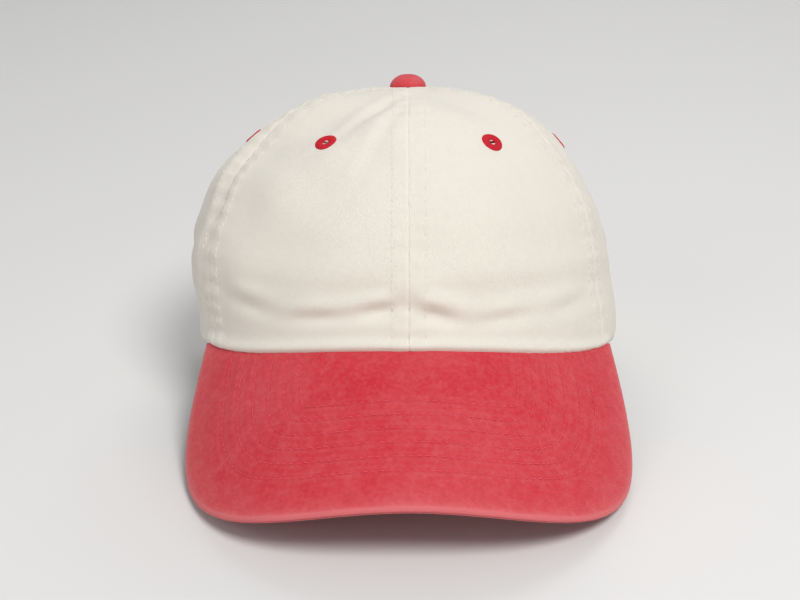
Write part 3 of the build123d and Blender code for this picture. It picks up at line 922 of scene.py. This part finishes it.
class CAP_OT_crown_stitching(BuildPart, bpy.types.Operator):
    """Stitch the crown's seams, hem and back opening"""
    bl_idname = "cap.crown_stitching"
    bl_label = "Crown stitching"

    def build(self, scene):
        crown, s = self.crown, scene.cap_crown
        rows = []
        top = crown.run_at_radius(0.0125)
        for number, name in enumerate(SEAM_NAMES):
            seam = FRONT + PANEL_TURN * number
            if name == "back":
                low = float(crown.foot(np.array([BACK]))[0]) + 0.004
            elif name.startswith("front"):
                low = crown.run_at(0.006)
            else:
                low = 0.003
            run = np.linspace(low, top, 260)
            for side in (-1, 1):
                azimuth = seam + side * s.topstitch / crown.radius(run)
                rows.append(self.row(azimuth, run))
            rows.append(self.row(seam + 0 * run, run))
        hem_margin, arch_margin = 0.0028, 0.0048
        span = scene.cap_visor.span + math.radians(2)
        opening = math.asin(s.opening / s.radius) + 0.02
        for side in (-1, 1):
            azimuth = np.linspace(FRONT + side * span, FRONT + side * (math.pi - opening), 300)
            rows.append(self.row(azimuth, hem_margin + 0 * azimuth))
        rows.append(self.arch_row(arch_margin))
        points, faces = stitches(rows, pitch=0.0027, fill=0.80, radius=0.00016)
        make_piece("crown_stitching", points, faces, material("cream_thread"), "cap")

    def row(self, azimuth, run):
        """A row's path on the cloth and the normals along it."""
        return self.crown.point(azimuth, run), self.crown.normal(azimuth, run)

    def arch_row(self, margin):
        """The row round the back opening's arch."""
        s = self.crown.settings
        radius = s.opening + margin
        bend = np.linspace(-math.pi / 2, math.pi / 2, 160)
        x, z = radius * np.sin(bend), self.crown.arch_centre() + radius * np.cos(bend)
        azimuth = BACK - np.arcsin(x / self.crown.radius_at(z))
        return self.row(azimuth, self.crown.run_at(z))


class CAP_OT_seam_tapes(BuildPart, bpy.types.Operator):
    """Tape the seams and bind the back opening inside the crown"""
    bl_idname = "cap.seam_tapes"
    bl_label = "Seam tapes"

    def build(self, scene):
        crown, s = self.crown, scene.cap_crown
        above_binding, under_button = 0.0065, 0.006
        high = crown.run_at_radius(under_button)
        for number, name in enumerate(SEAM_NAMES):
            low = crown.run_at(s.band_top)
            if name == "back":
                low = crown.run_at(crown.arch_centre() + s.opening + above_binding)
            patch_piece("tape_" + name, crown, material("seam_tape"), "cap", ["seam_tape_" + name], "seam_tape",
                        low=low, high=high, offset=s.cloth + LAYER_GAP, thickness=s.tape,
                        middle=FRONT + PANEL_TURN * number, width=s.tape_width, columns=15, rows=90)
        self.binding(scene)

    def binding(self, scene):
        """Tape folded over the edge of the back opening, flat in section."""
        crown, s = self.crown, scene.cap_crown
        from_edge, half_width, half_thickness = 0.0032, 0.0040, 0.00055
        centre = crown.arch_centre()
        bend = np.linspace(-math.pi / 2, math.pi / 2, 121)
        leg = np.linspace(0, 1, 13, endpoint=False)
        drop = centre + s.hem_drop
        section = [(from_edge - half_width * math.cos(b), half_thickness * math.sin(b)) for b in circle(22)]
        columns = []
        for margin, rise in section:
            radius = s.opening + margin
            x = np.concatenate([-radius + 0 * leg, radius * np.sin(bend), radius + 0 * leg])
            z = np.concatenate([centre - drop * (1 - leg), centre + radius * np.cos(bend), centre - drop * leg])
            azimuth = BACK - np.arcsin(x / crown.radius_at(z))
            columns.append(crown.point(azimuth, crown.run_at(z), s.cloth + s.tape / 2 - rise))
        points = np.stack(columns)
        rows = points.shape[1]
        faces = grid_faces(len(columns), rows, closed=True)
        faces.append(tuple(i * rows for i in range(len(columns))))
        faces.append(tuple(i * rows + rows - 1 for i in range(len(columns)))[::-1])
        cloth = np.zeros((len(columns), rows, 3))
        cloth[..., 0] = np.array([margin for margin, _ in section])[:, None]
        cloth[..., 1] = np.linspace(0, 0.14, rows)[None, :]
        make_piece("back_opening_binding", points, faces, material("seam_tape"), "cap", ["back_binding"],
                   cloth)


class CAP_OT_sweatband(BuildPart, bpy.types.Operator):
    """Fold the sweatband round the inside of the hem, with its label"""
    bl_idname = "cap.sweatband"
    bl_label = "Sweatband and label"

    def build(self, scene):
        crown, s = self.crown, scene.cap_crown
        binding_margin, low_stitch, high_stitch = 0.0068, 0.0035, 0.003
        opening = math.asin((s.opening + binding_margin) / s.radius)
        azimuth = np.linspace(BACK + opening, BACK + 2 * math.pi - opening, 301)
        low, high = 0.0006, crown.run_at(s.band_top)
        channels = (low_stitch, high - high_stitch)
        section = self.section(low, high, channels, s)
        shape = []
        for run, inset in section:
            wave = 0.00022 * np.sin(azimuth * 31 + 2 * np.sin(azimuth * 7)) * bell(run - high, 0.01)
            shape.append(crown.point(azimuth, np.full_like(azimuth, run), inset + wave, soft=0.9))
        points = np.stack(shape, 1)
        cloth = np.zeros(points.shape)
        cloth[..., 0] = azimuth[:, None] * s.radius
        cloth[..., 1] = np.array([run for run, _ in section])[None, :]
        make_piece("sweatband_cloth", points, tube_faces(len(azimuth), len(section)),
                   material("sweatband_cotton"), "cap", ["sweatband"], cloth)
        face = s.cloth + s.band + LAYER_GAP
        rows = []
        for run in channels:
            path = crown.point(azimuth, run + 0 * azimuth, face, soft=0.9)
            rows.append((path, -crown.normal(azimuth, run + 0 * azimuth)))
        points, faces = stitches(rows, pitch=0.0032)
        make_piece("sweatband_stitching", points, faces, material("cream_thread"), "cap")
        patch_piece("size_label_cloth", crown, material("label_tape"), "cap", ["size_label"], "label_tape",
                    low=crown.run_at(0.004), high=crown.run_at(0.020), offset=face, thickness=0.0003,
                    middle=BACK - math.radians(48), width=0.026, columns=21, rows=15, soft=0.9)

    def section(self, low, high, channels, s):
        """Closed section of the band: rounded ends, and a channel where each row of stitches pulls it in."""
        depth, width = 0.00035, 0.0009
        outer, inner = s.cloth + 0.00005, s.cloth + s.band
        middle, half = (outer + inner) / 2, (inner - outer) / 2
        section = []
        for run in np.linspace(low + half, high - half, 16):
            section.append((run, outer))
        for bend in np.linspace(-math.pi / 2, math.pi / 2, 7)[1:-1]:
            section.append((high - half + half * math.cos(bend), middle + half * math.sin(bend)))
        for run in np.linspace(high - half, low + half, 26):
            section.append((run, inner - depth * sum(bell(run - channel, width) for channel in channels)))
        for bend in np.linspace(math.pi / 2, -math.pi / 2, 7)[1:-1]:
            section.append((low + half - half * math.cos(bend), middle + half * math.sin(bend)))
        return section


class CAP_OT_visor(BuildPart, bpy.types.Operator):
    """Cover the visor's board above and below, and stitch its rows"""
    bl_idname = "cap.visor"
    bl_label = "Visor"

    def build(self, scene):
        s, visor = scene.cap_visor, self.visor
        rows = [s.first_row + s.row_gap * i for i in range(s.rows)]
        self.cover("visor_top_cloth", "visor_top_cover", 1, rows, scene)
        self.cover("visor_under_cloth", "visor_under_cover", -1, rows, scene)
        threads, sunk = [], 0.00018
        for side in (1, -1):
            for distance in rows:
                path = visor.row_path(distance)
                lift = side * (s.thickness / 2 - sunk)
                points = visor.point(path, lift)
                normals = points - visor.point(path, lift - side * 0.001)
                threads.append((points, normals))
        points, faces = stitches(threads, pitch=0.0030, radius=0.00021)
        make_piece("visor_stitching", points, faces, material("red_thread"), "cap")

    def rim(self, across, inset):
        """The inset outline from one side of the crown to the other."""
        start = self.visor.start_phi(inset)
        return self.visor.outline(start + across * (math.pi - 2 * start), inset)

    def cover(self, name, node, side, rows, scene):
        """One face of the visor, from inside the crown's seam to the middle of the edge."""
        s, visor = scene.cap_visor, self.visor
        channel, swell, edge_swell = 0.0003, 0.00012, 0.00018
        seam_dip, tucked, edge_groove = 0.0003, 0.0011, 0.0003
        round_edge = s.thickness / 2
        across = np.linspace(0, 1, 231)
        share = np.linspace(0, 1, 96)
        rim = self.rim(across, round_edge)
        theta = math.asin(rim[0, 0] / scene.cap_crown.radius) * np.cos(math.pi * across)
        seam = visor.seam(theta)
        flat = seam[:, None] + (rim - seam)[:, None] * share[None, :, None]
        depth = visor.edge_distance(flat)
        n = np.full(depth.shape, round_edge)
        for distance in rows:
            n -= channel * bell(depth - distance, 0.00075)
        n += swell * np.sin(flat[..., 0] * 160) * np.sin(flat[..., 1] * 210 + 1) * smooth(depth, 0.004, 0.012)
        n += edge_swell * bell(depth - 0.0035, 0.002)
        n -= seam_dip * bell(np.linalg.norm(flat - seam[:, None], axis=-1), 0.0012)
        edge_flat, edge_n = [], []
        for bend in np.linspace(0, math.pi / 2, 9)[1:]:
            groove = edge_groove if bend > 1.5 else 0.0
            edge_flat.append(self.rim(across, round_edge * (1 - math.sin(bend)) + groove))
            edge_n.append(np.full(len(across), round_edge * math.cos(bend)))
        tuck = visor.seam(theta, tucked)[:, None]
        flat = np.concatenate([tuck, flat, np.stack(edge_flat, 1)], 1)
        n = np.concatenate([n[:, :1] - seam_dip, n, np.stack(edge_n, 1)], 1)
        depth = np.concatenate([depth[:, :1], depth, np.zeros((len(across), len(edge_n)))], 1)
        points = visor.point(flat, side * n)
        # Painted paler towards the edge, partly wear and partly a painted highlight where the cover turns down
        # over it, and paler beside each row of stitches.
        paleness = 0.75 * bell(depth, 0.0022) + 0.25 * bell(depth, 0.009)
        for distance in rows:
            paleness += 0.10 * bell(np.abs(depth - distance) - 0.0016, 0.0008)
        cloth = np.stack([flat[..., 0], flat[..., 1], paleness], -1).reshape(-1, 3)
        faces = grid_faces(len(across), flat.shape[1], flip=side < 0)
        make_piece(name, points, faces, material("red_cloth"), "cap", [node], cloth,
                   thickness=0.0007)


class CAP_OT_eyelets(BuildPart, bpy.types.Operator):
    """Embroider the six eyelets"""
    bl_idname = "cap.eyelets"
    bl_label = "Eyelets"

    def build(self, scene):
        s, crown = scene.cap_crown, self.crown
        rings, sides, step = 288, 18, 0.004
        hole, half_height, thread_height, threads_round = 0.0012, 0.00125, 0.00011, 26
        ring, tube = circle(rings)[:, None], circle(sides)[None, :]
        for number, panel in enumerate(PANEL_NAMES):
            azimuth = FRONT + PANEL_TURN * (number + 0.5)
            run = crown.run_at(s.eyelet_height)
            centre = crown.point(azimuth, run, s.cloth / 2)
            side = crown.point(azimuth + step / s.radius, run) - crown.point(azimuth - step / s.radius, run)
            rise = crown.point(azimuth, run + step) - crown.point(azimuth, run - step)
            out = np.cross(side, rise)
            side, out = side / np.linalg.norm(side), out / np.linalg.norm(out)
            up = np.cross(out, side)
            outer = s.eyelet * (1 + 0.02 * np.sin(3 * ring + number))
            middle, half = (hole + outer) / 2, (outer - hole) / 2
            threads = thread_height * np.abs(np.sin(ring * threads_round + 0.4 * np.sin(ring * 5)))
            r = middle + half * np.cos(tube)
            lift = (half_height + threads) * np.sign(np.sin(tube)) * np.abs(np.sin(tube)) ** 0.7
            points = (centre + (r * np.cos(ring))[..., None] * side + (r * np.sin(ring))[..., None] * up
                      + lift[..., None] * out)
            faces = tube_faces(rings, sides, closed=True)
            node = "eyelet_" + panel.replace("_panel", "")
            make_piece(node + "_threads", points, faces, material("eyelet_thread"), "cap", [node])


class CAP_OT_button(BuildPart, bpy.types.Operator):
    """Cover the top button"""
    bl_idname = "cap.button"
    bl_label = "Top button"

    def build(self, scene):
        s = scene.cap_crown
        sides, rings, last_bend, above_crown = 96, 30, 2.05, 0.0002
        around = circle(sides)[:, None]
        share = np.linspace(0, 1, rings)[None, :]
        bend = share * last_bend
        gather = 0.00022 * np.sin(around * 14 + 0.5 * np.sin(around * 3)) * smooth(share, 0.55, 0.95)
        r = (s.button + gather) * np.sin(bend) ** 0.86 + 0.00002
        z = s.button_height * (np.cos(bend) * 0.97 + 0.03 * np.cos(2 * bend))
        z = np.where(bend > math.pi / 2, z * 0.35, z)
        z = z + 0.00012 * np.sin(3 * around + 1) * share
        x, y = r * np.cos(around), r * np.sin(around)
        faces = grid_faces(sides, rings, closed=True, flip=True)
        faces.append(tuple(i * rings for i in range(sides)))
        # The cloth is worn paler round the button's shoulder.
        paleness = 0.35 * bell(bend - 0.9, 0.5) + 0 * r
        make_piece("button_cloth", np.stack([x, y, s.height + above_crown + z], -1), faces,
                   material("red_cloth"), "cap", ["button_cover"],
                   np.stack([x, y, paleness], -1), thickness=0.0005)


class CAP_OT_strap(BuildPart, bpy.types.Operator):
    """Lay both back straps and the keeper"""
    bl_idname = "cap.strap"
    bl_label = "Back strap"

    def build(self, scene):
        c, s = scene.cap_crown, scene.cap_strap
        past_edge, bar_stand, loop_gap, before_bar = 0.005, 0.0017, 0.0002, 0.0022
        inside = c.cloth + c.tape + LAYER_GAP
        tail_inset = inside + s.thickness * 1.5 + s.gap
        edge = math.asin((c.opening + past_edge) / c.radius)
        outer = c.radius - inside - s.thickness / 2
        azimuth = np.linspace(BACK - edge, BACK + s.tuck, 130)
        under = smooth(np.abs(azimuth - BACK + edge), 0.06, 0.13)
        tail = self.arc(outer - (tail_inset - inside - s.thickness / 2) * under, azimuth)
        self.strip("strap_tail_cloth", tail, "strap_tail", scene)
        bar_y = math.sqrt((c.radius - tail_inset + s.thickness / 2) ** 2 - s.bar**2) + bar_stand + s.bar_radius
        loop = s.bar_radius + loop_gap + s.thickness / 2
        bend = np.linspace(-math.pi * 0.62, math.pi * 0.92, 40)
        ring = np.array([s.bar, bar_y]) + self.arc(loop, bend)
        azimuth = np.linspace(BACK + edge, BACK + math.asin(-(s.bar - before_bar) / outer), 60)
        short = np.concatenate([self.arc(outer, azimuth), ring])
        self.strip("strap_short_cloth", short, "strap_short", scene)
        spare, before_end = 0.001, 0.075
        patch_piece("strap_keeper_cloth", self.crown, material("red_cloth"), "cap", ["strap_keeper"],
                    "strap_twill", low=self.crown.run_at(s.bottom - spare),
                    high=self.crown.run_at(s.bottom + s.width + spare),
                    offset=tail_inset + s.thickness / 2 + 0.0003, thickness=0.0008,
                    middle=BACK + s.tuck - before_end, width=0.007, columns=9, rows=25, soft=0.0)

    def arc(self, radius, azimuth):
        return np.stack([radius * np.cos(azimuth), radius * np.sin(azimuth)], -1)

    def strip(self, name, path, node, scene):
        """A folded strap along a path seen from above, leaning with the crown, with stitched edges."""
        c, s = scene.cap_crown, scene.cap_strap
        path = resample(path, 0.0007)
        along = np.gradient(path, axis=0)
        side = np.stack([along[:, 1], -along[:, 0]], -1)
        side /= np.linalg.norm(side, axis=1)[:, None]
        run = np.concatenate([[0], np.cumsum(np.linalg.norm(np.diff(path, axis=0), axis=1))])
        half, thick = s.width / 2, s.thickness / 2
        row, channel, sunk = 0.84, 0.00022, 0.0001
        section = []
        for face in (1, -1):
            for t in np.linspace(-face, face, 25):
                section.append((t * (half - thick), face * (thick - channel * bell(abs(t) - row, 0.05))))
            for bend in np.linspace(math.pi / 2, -math.pi / 2, 7)[1:-1]:
                out = half - thick + thick * math.cos(bend)
                section.append((face * out, face * thick * math.sin(bend)))
        section = np.array(section)
        middle = s.bottom + half
        shape = []
        lean = c.radius - self.crown.radius_at(middle + section[:, 0])
        steady = np.ones(len(path))
        if node == "strap_short":
            steady = smooth(np.abs(path[:, 0] - s.bar), 0.001, 0.006)
        for j, (z, out) in enumerate(section):
            ripple = 0.00010 * np.sin(run * 900 + z * 500) * bell(abs(z) - half, 0.003)
            shift = out + ripple - lean[j] * steady
            shape.append(np.column_stack([path + side * shift[:, None], np.full(len(path), middle + z)]))
        # The strap's folded edges are worn paler.
        paler_share = 0.55 * bell(np.abs(section[:, 0]) - half, 0.0008)
        cloth = np.stack(np.broadcast_arrays(run[:, None], section[:, 0], paler_share), -1)
        make_piece(name, np.stack(shape, 1), tube_faces(len(path), len(section)), material("red_cloth"), "cap",
                   [node], cloth)
        rows = []
        for z in (-row * (half - thick), row * (half - thick)):
            tilt = c.radius - self.crown.radius_at(middle + z)
            for face in (1, -1):
                shift = face * (thick - sunk) - tilt * steady
                points = np.column_stack([path + side * shift[:, None], np.full(len(path), middle + z)])
                rows.append((points, np.column_stack([face * side, np.zeros(len(path))])))
        points, faces = stitches(rows, pitch=0.0027)
        make_piece(name.replace("cloth", "stitching"), points, faces, material("red_thread"), "cap")


class CAP_OT_insert(BuildPart, bpy.types.Operator):
    """Fit the foam pads and fastening patches of the hard insert"""
    bl_idname = "cap.insert"
    bl_label = "Insert pads"

    def build(self, scene):
        s = scene.cap_insert
        front, back = s.front_edge, s.back_edge
        self.pad("front_pad", FRONT, 64, front + 0.006, front + 0.022, s)
        self.pad("left_pad", 0, 44, front + 0.014, front + 0.028, s)
        self.pad("right_pad", math.pi, 44, front + 0.014, front + 0.028, s)
        self.pad("back_pad", BACK, 56, back + 0.001, back + 0.009, s)
        self.crown_pad(s)
        self.tabs("hook_tabs", "insert", offset=s.offset - 0.0010, thickness=0.0009, soft=0.0)
        self.tabs("loop_tabs", "cap", offset=0.00125, thickness=0.0022, soft=1.0)

    def pad(self, node, middle, degrees, low, high, s):
        """A foam pad along the shell's inside, between two heights."""
        rise = 0.0035
        piece = patch_piece(node + "_foam", self.crown, material("foam"), "insert", [node], "foam",
                            low=self.crown.run_at(low + rise), high=self.crown.run_at(high + rise),
                            offset=s.offset + s.shell, thickness=s.pad, middle=middle,
                            turn_by=math.radians(degrees), columns=61, rows=25, edge=10, soft=0.0)

    def crown_pad(self, s):
        """A foam ring under the top of the shell."""
        rings, sides, inner, outer, squareness = 96, 40, 0.0100, 0.0335, 0.35
        low, high = self.crown.run_at_radius(outer), self.crown.run_at_radius(inner)
        middle, half = (low + high) / 2, (high - low) / 2
        cos, sin = np.cos(circle(sides)), np.sin(circle(sides))
        run = middle + half * np.sign(cos) * np.abs(cos) ** squareness
        inset = s.offset + s.shell + s.pad / 2 * (1 + np.sign(sin) * np.abs(sin) ** squareness)
        points = self.crown.point(circle(rings)[:, None], run[None, :], inset[None, :], 0.0)
        faces = tube_faces(rings, sides, closed=True)
        piece = make_piece("crown_pad_foam", points, faces, material("foam"), "insert", ["crown_pad"])

    def tabs(self, node, body, offset, thickness, soft):
        """Four fastening patches as one piece."""
        low, high = self.crown.run_at(0.048), self.crown.run_at(0.064)
        points, faces, cloth, count = [], [], [], 0
        for middle in (FRONT, BACK):
            for side in (-1, 1):
                square = patch(self.crown, low, high, offset, thickness, middle + side * PANEL_TURN / 2,
                               width=0.024, columns=13, rows=13, soft=soft)
                square_points, square_faces, square_cloth = without_loose(*square)
                faces += [tuple(k + count for k in face) for face in square_faces]
                points.append(square_points)
                cloth.append(square_cloth)
                count += len(square_points)
        make_piece(node + "_tape", np.concatenate(points), faces, material("hook_tape"), body, [node],
                   np.concatenate(cloth))


class CAP_OT_buckle_pin(BuildPart, bpy.types.Operator):
    """Turn the buckle's pin, with a domed head at each end"""
    bl_idname = "cap.buckle_pin"
    bl_label = "Buckle pin"

    def build(self, scene):
        sides, shank, head, ear, end, dome = 36, 0.00082, 0.00125, 0.0109, 0.0113, 0.0002
        profile = [(0.00001, -end - dome)]
        for bend in np.linspace(0.3, 1.57, 6):
            profile.append((head * math.sin(bend), -end + dome - 2 * dome * math.cos(bend)))
        profile += [(head, -ear - 0.00002), (shank, -ear)]
        profile += [(r, -z) for r, z in reversed(profile)]
        around = circle(sides)[:, None]
        r, z = np.array(profile).T
        points = (np.array(HINGE["pos_m"]) + (r * np.cos(around))[..., None] * ACROSS
                  + (r * np.sin(around))[..., None] * BACKWARDS + (z + 0 * around)[..., None] * UP)
        faces = grid_faces(sides, len(profile), closed=True)
        make_piece("buckle_pin_turned", points, faces, material("brass"), "cap", ["buckle_pin"],
                   own_axes=False)


class CAP_OT_hardware(BuildPart, bpy.types.Operator):
    """Give the rigid parts their finishes"""
    bl_idname = "cap.hardware"
    bl_label = "Hardware finishes"

    def build(self, scene):
        finishes = {"buckle_frame": "brass", "buckle_lever": "brass", "button_cap": "tinned_steel",
                    "button_rivet": "tinned_steel", "button_washer": "tinned_steel",
                    "visor_board": "board", "insert_shell": "shell_plastic"}
        for node, name in finishes.items():
            mesh = frame["nodes"][node].data
            mesh.materials.clear()
            mesh.materials.append(material(name))


class CAP_OT_stage(BuildPart, bpy.types.Operator):
    """Set the floor, the lights and the camera"""
    bl_idname = "cap.stage"
    bl_label = "Stage"

    def build(self, scene):
        low, high = (np.array(v) for v in CAD_BOX)
        self.floor(float(low[2]))
        middle = Vector((low + high) / 2)
        self.light("key_light", middle, (0.55, -0.95, 1.5), 0.8, 25.5)
        self.light("fill_light", middle, (-1.3, -0.9, 0.8), 1.4, 5.2)
        self.light("back_light", middle, (0.3, 1.4, 1.3), 1.0, 8.0)
        world = bpy.data.worlds.new("studio")
        world.use_nodes = True
        background = world.node_tree.nodes["Background"]
        background.inputs["Color"].default_value = (0.93, 0.95, 1.0, 1.0)
        background.inputs["Strength"].default_value = 0.29
        scene.world = world
        scene.view_settings.view_transform = "Standard"
        camera = bpy.data.objects.new("camera", bpy.data.cameras.new("camera"))
        scene.collection.objects.link(camera)
        elevation, distance = math.radians(23.7), 0.60
        aim = middle + Vector((-0.0036, 0.0093, -0.0212))
        back = Vector((0, -math.cos(elevation), math.sin(elevation)))
        camera.location = aim + back * distance
        camera.rotation_euler = (-back).to_track_quat("-Z", "Y").to_euler()
        camera.data.sensor_width = 36.0
        camera.data.lens = 60.9
        scene.camera = camera

    def floor(self, level):
        """A round floor that curves up into a backdrop."""
        flat, turn_radius, sides = 3.0, 2.5, 128
        bend = np.linspace(0, math.pi / 2, 24)
        reach = np.concatenate([[0.001], flat + turn_radius * np.sin(bend)])
        rise = level + np.concatenate([[0.0], turn_radius * (1 - np.cos(bend))])
        around = circle(sides)[:, None]
        points = np.stack([reach * np.cos(around), reach * np.sin(around), rise + 0 * around], -1)
        faces = grid_faces(sides, len(reach), closed=True, flip=True)
        mesh = bpy.data.meshes.new("floor")
        mesh.from_pydata(points.reshape(-1, 3).tolist(), [], faces)
        mesh.materials.append(material("floor"))
        mesh.shade_smooth()
        floor = bpy.data.objects.new("floor", mesh)
        bpy.context.scene.collection.objects.link(floor)

    def light(self, name, middle, offset, width, power):
        """A round soft light, turned to the cap's middle."""
        data = bpy.data.lights.new(name, "AREA")
        data.shape = "DISK"
        data.size = width
        data.energy = power
        light = bpy.data.objects.new(name, data)
        bpy.context.scene.collection.objects.link(light)
        light.location = middle + Vector(offset)
        light.rotation_euler = (-Vector(offset)).to_track_quat("-Z", "Y").to_euler()


OPERATORS = (CAP_OT_crown_panels, CAP_OT_crown_stitching, CAP_OT_seam_tapes, CAP_OT_sweatband, CAP_OT_visor,
             CAP_OT_eyelets, CAP_OT_button, CAP_OT_strap, CAP_OT_buckle_pin, CAP_OT_insert, CAP_OT_hardware,
             CAP_OT_stage)


class CAP_PT_panel(bpy.types.Panel):
    """Lists the cap's operators and settings"""
    bl_idname = "CAP_PT_panel"
    bl_label = "Bump cap"
    bl_space_type = "VIEW_3D"
    bl_region_type = "UI"
    bl_category = "Bump cap"

    def draw(self, context):
        for operator in OPERATORS:
            self.layout.operator(operator.bl_idname)
        for name, group in SETTINGS.items():
            box = self.layout.box()
            box.label(text=group.__doc__)
            for key in group.__annotations__:
                box.prop(getattr(context.scene, name), key)


def register():
    for group in SETTINGS.values():
        bpy.utils.register_class(group)
    for name, group in SETTINGS.items():
        setattr(bpy.types.Scene, name, PointerProperty(type=group))
    for operator in OPERATORS:
        bpy.utils.register_class(operator)
    bpy.utils.register_class(CAP_PT_panel)


def unregister():
    bpy.utils.unregister_class(CAP_PT_panel)
    for operator in reversed(OPERATORS):
        bpy.utils.unregister_class(operator)
    for name, group in SETTINGS.items():
        delattr(bpy.types.Scene, name)
        bpy.utils.unregister_class(group)


def main():
    register()
    for operator in OPERATORS:
        family, name = operator.bl_idname.split(".")
        getattr(getattr(bpy.ops, family), name)()


if __name__ == "__main__":
    main()
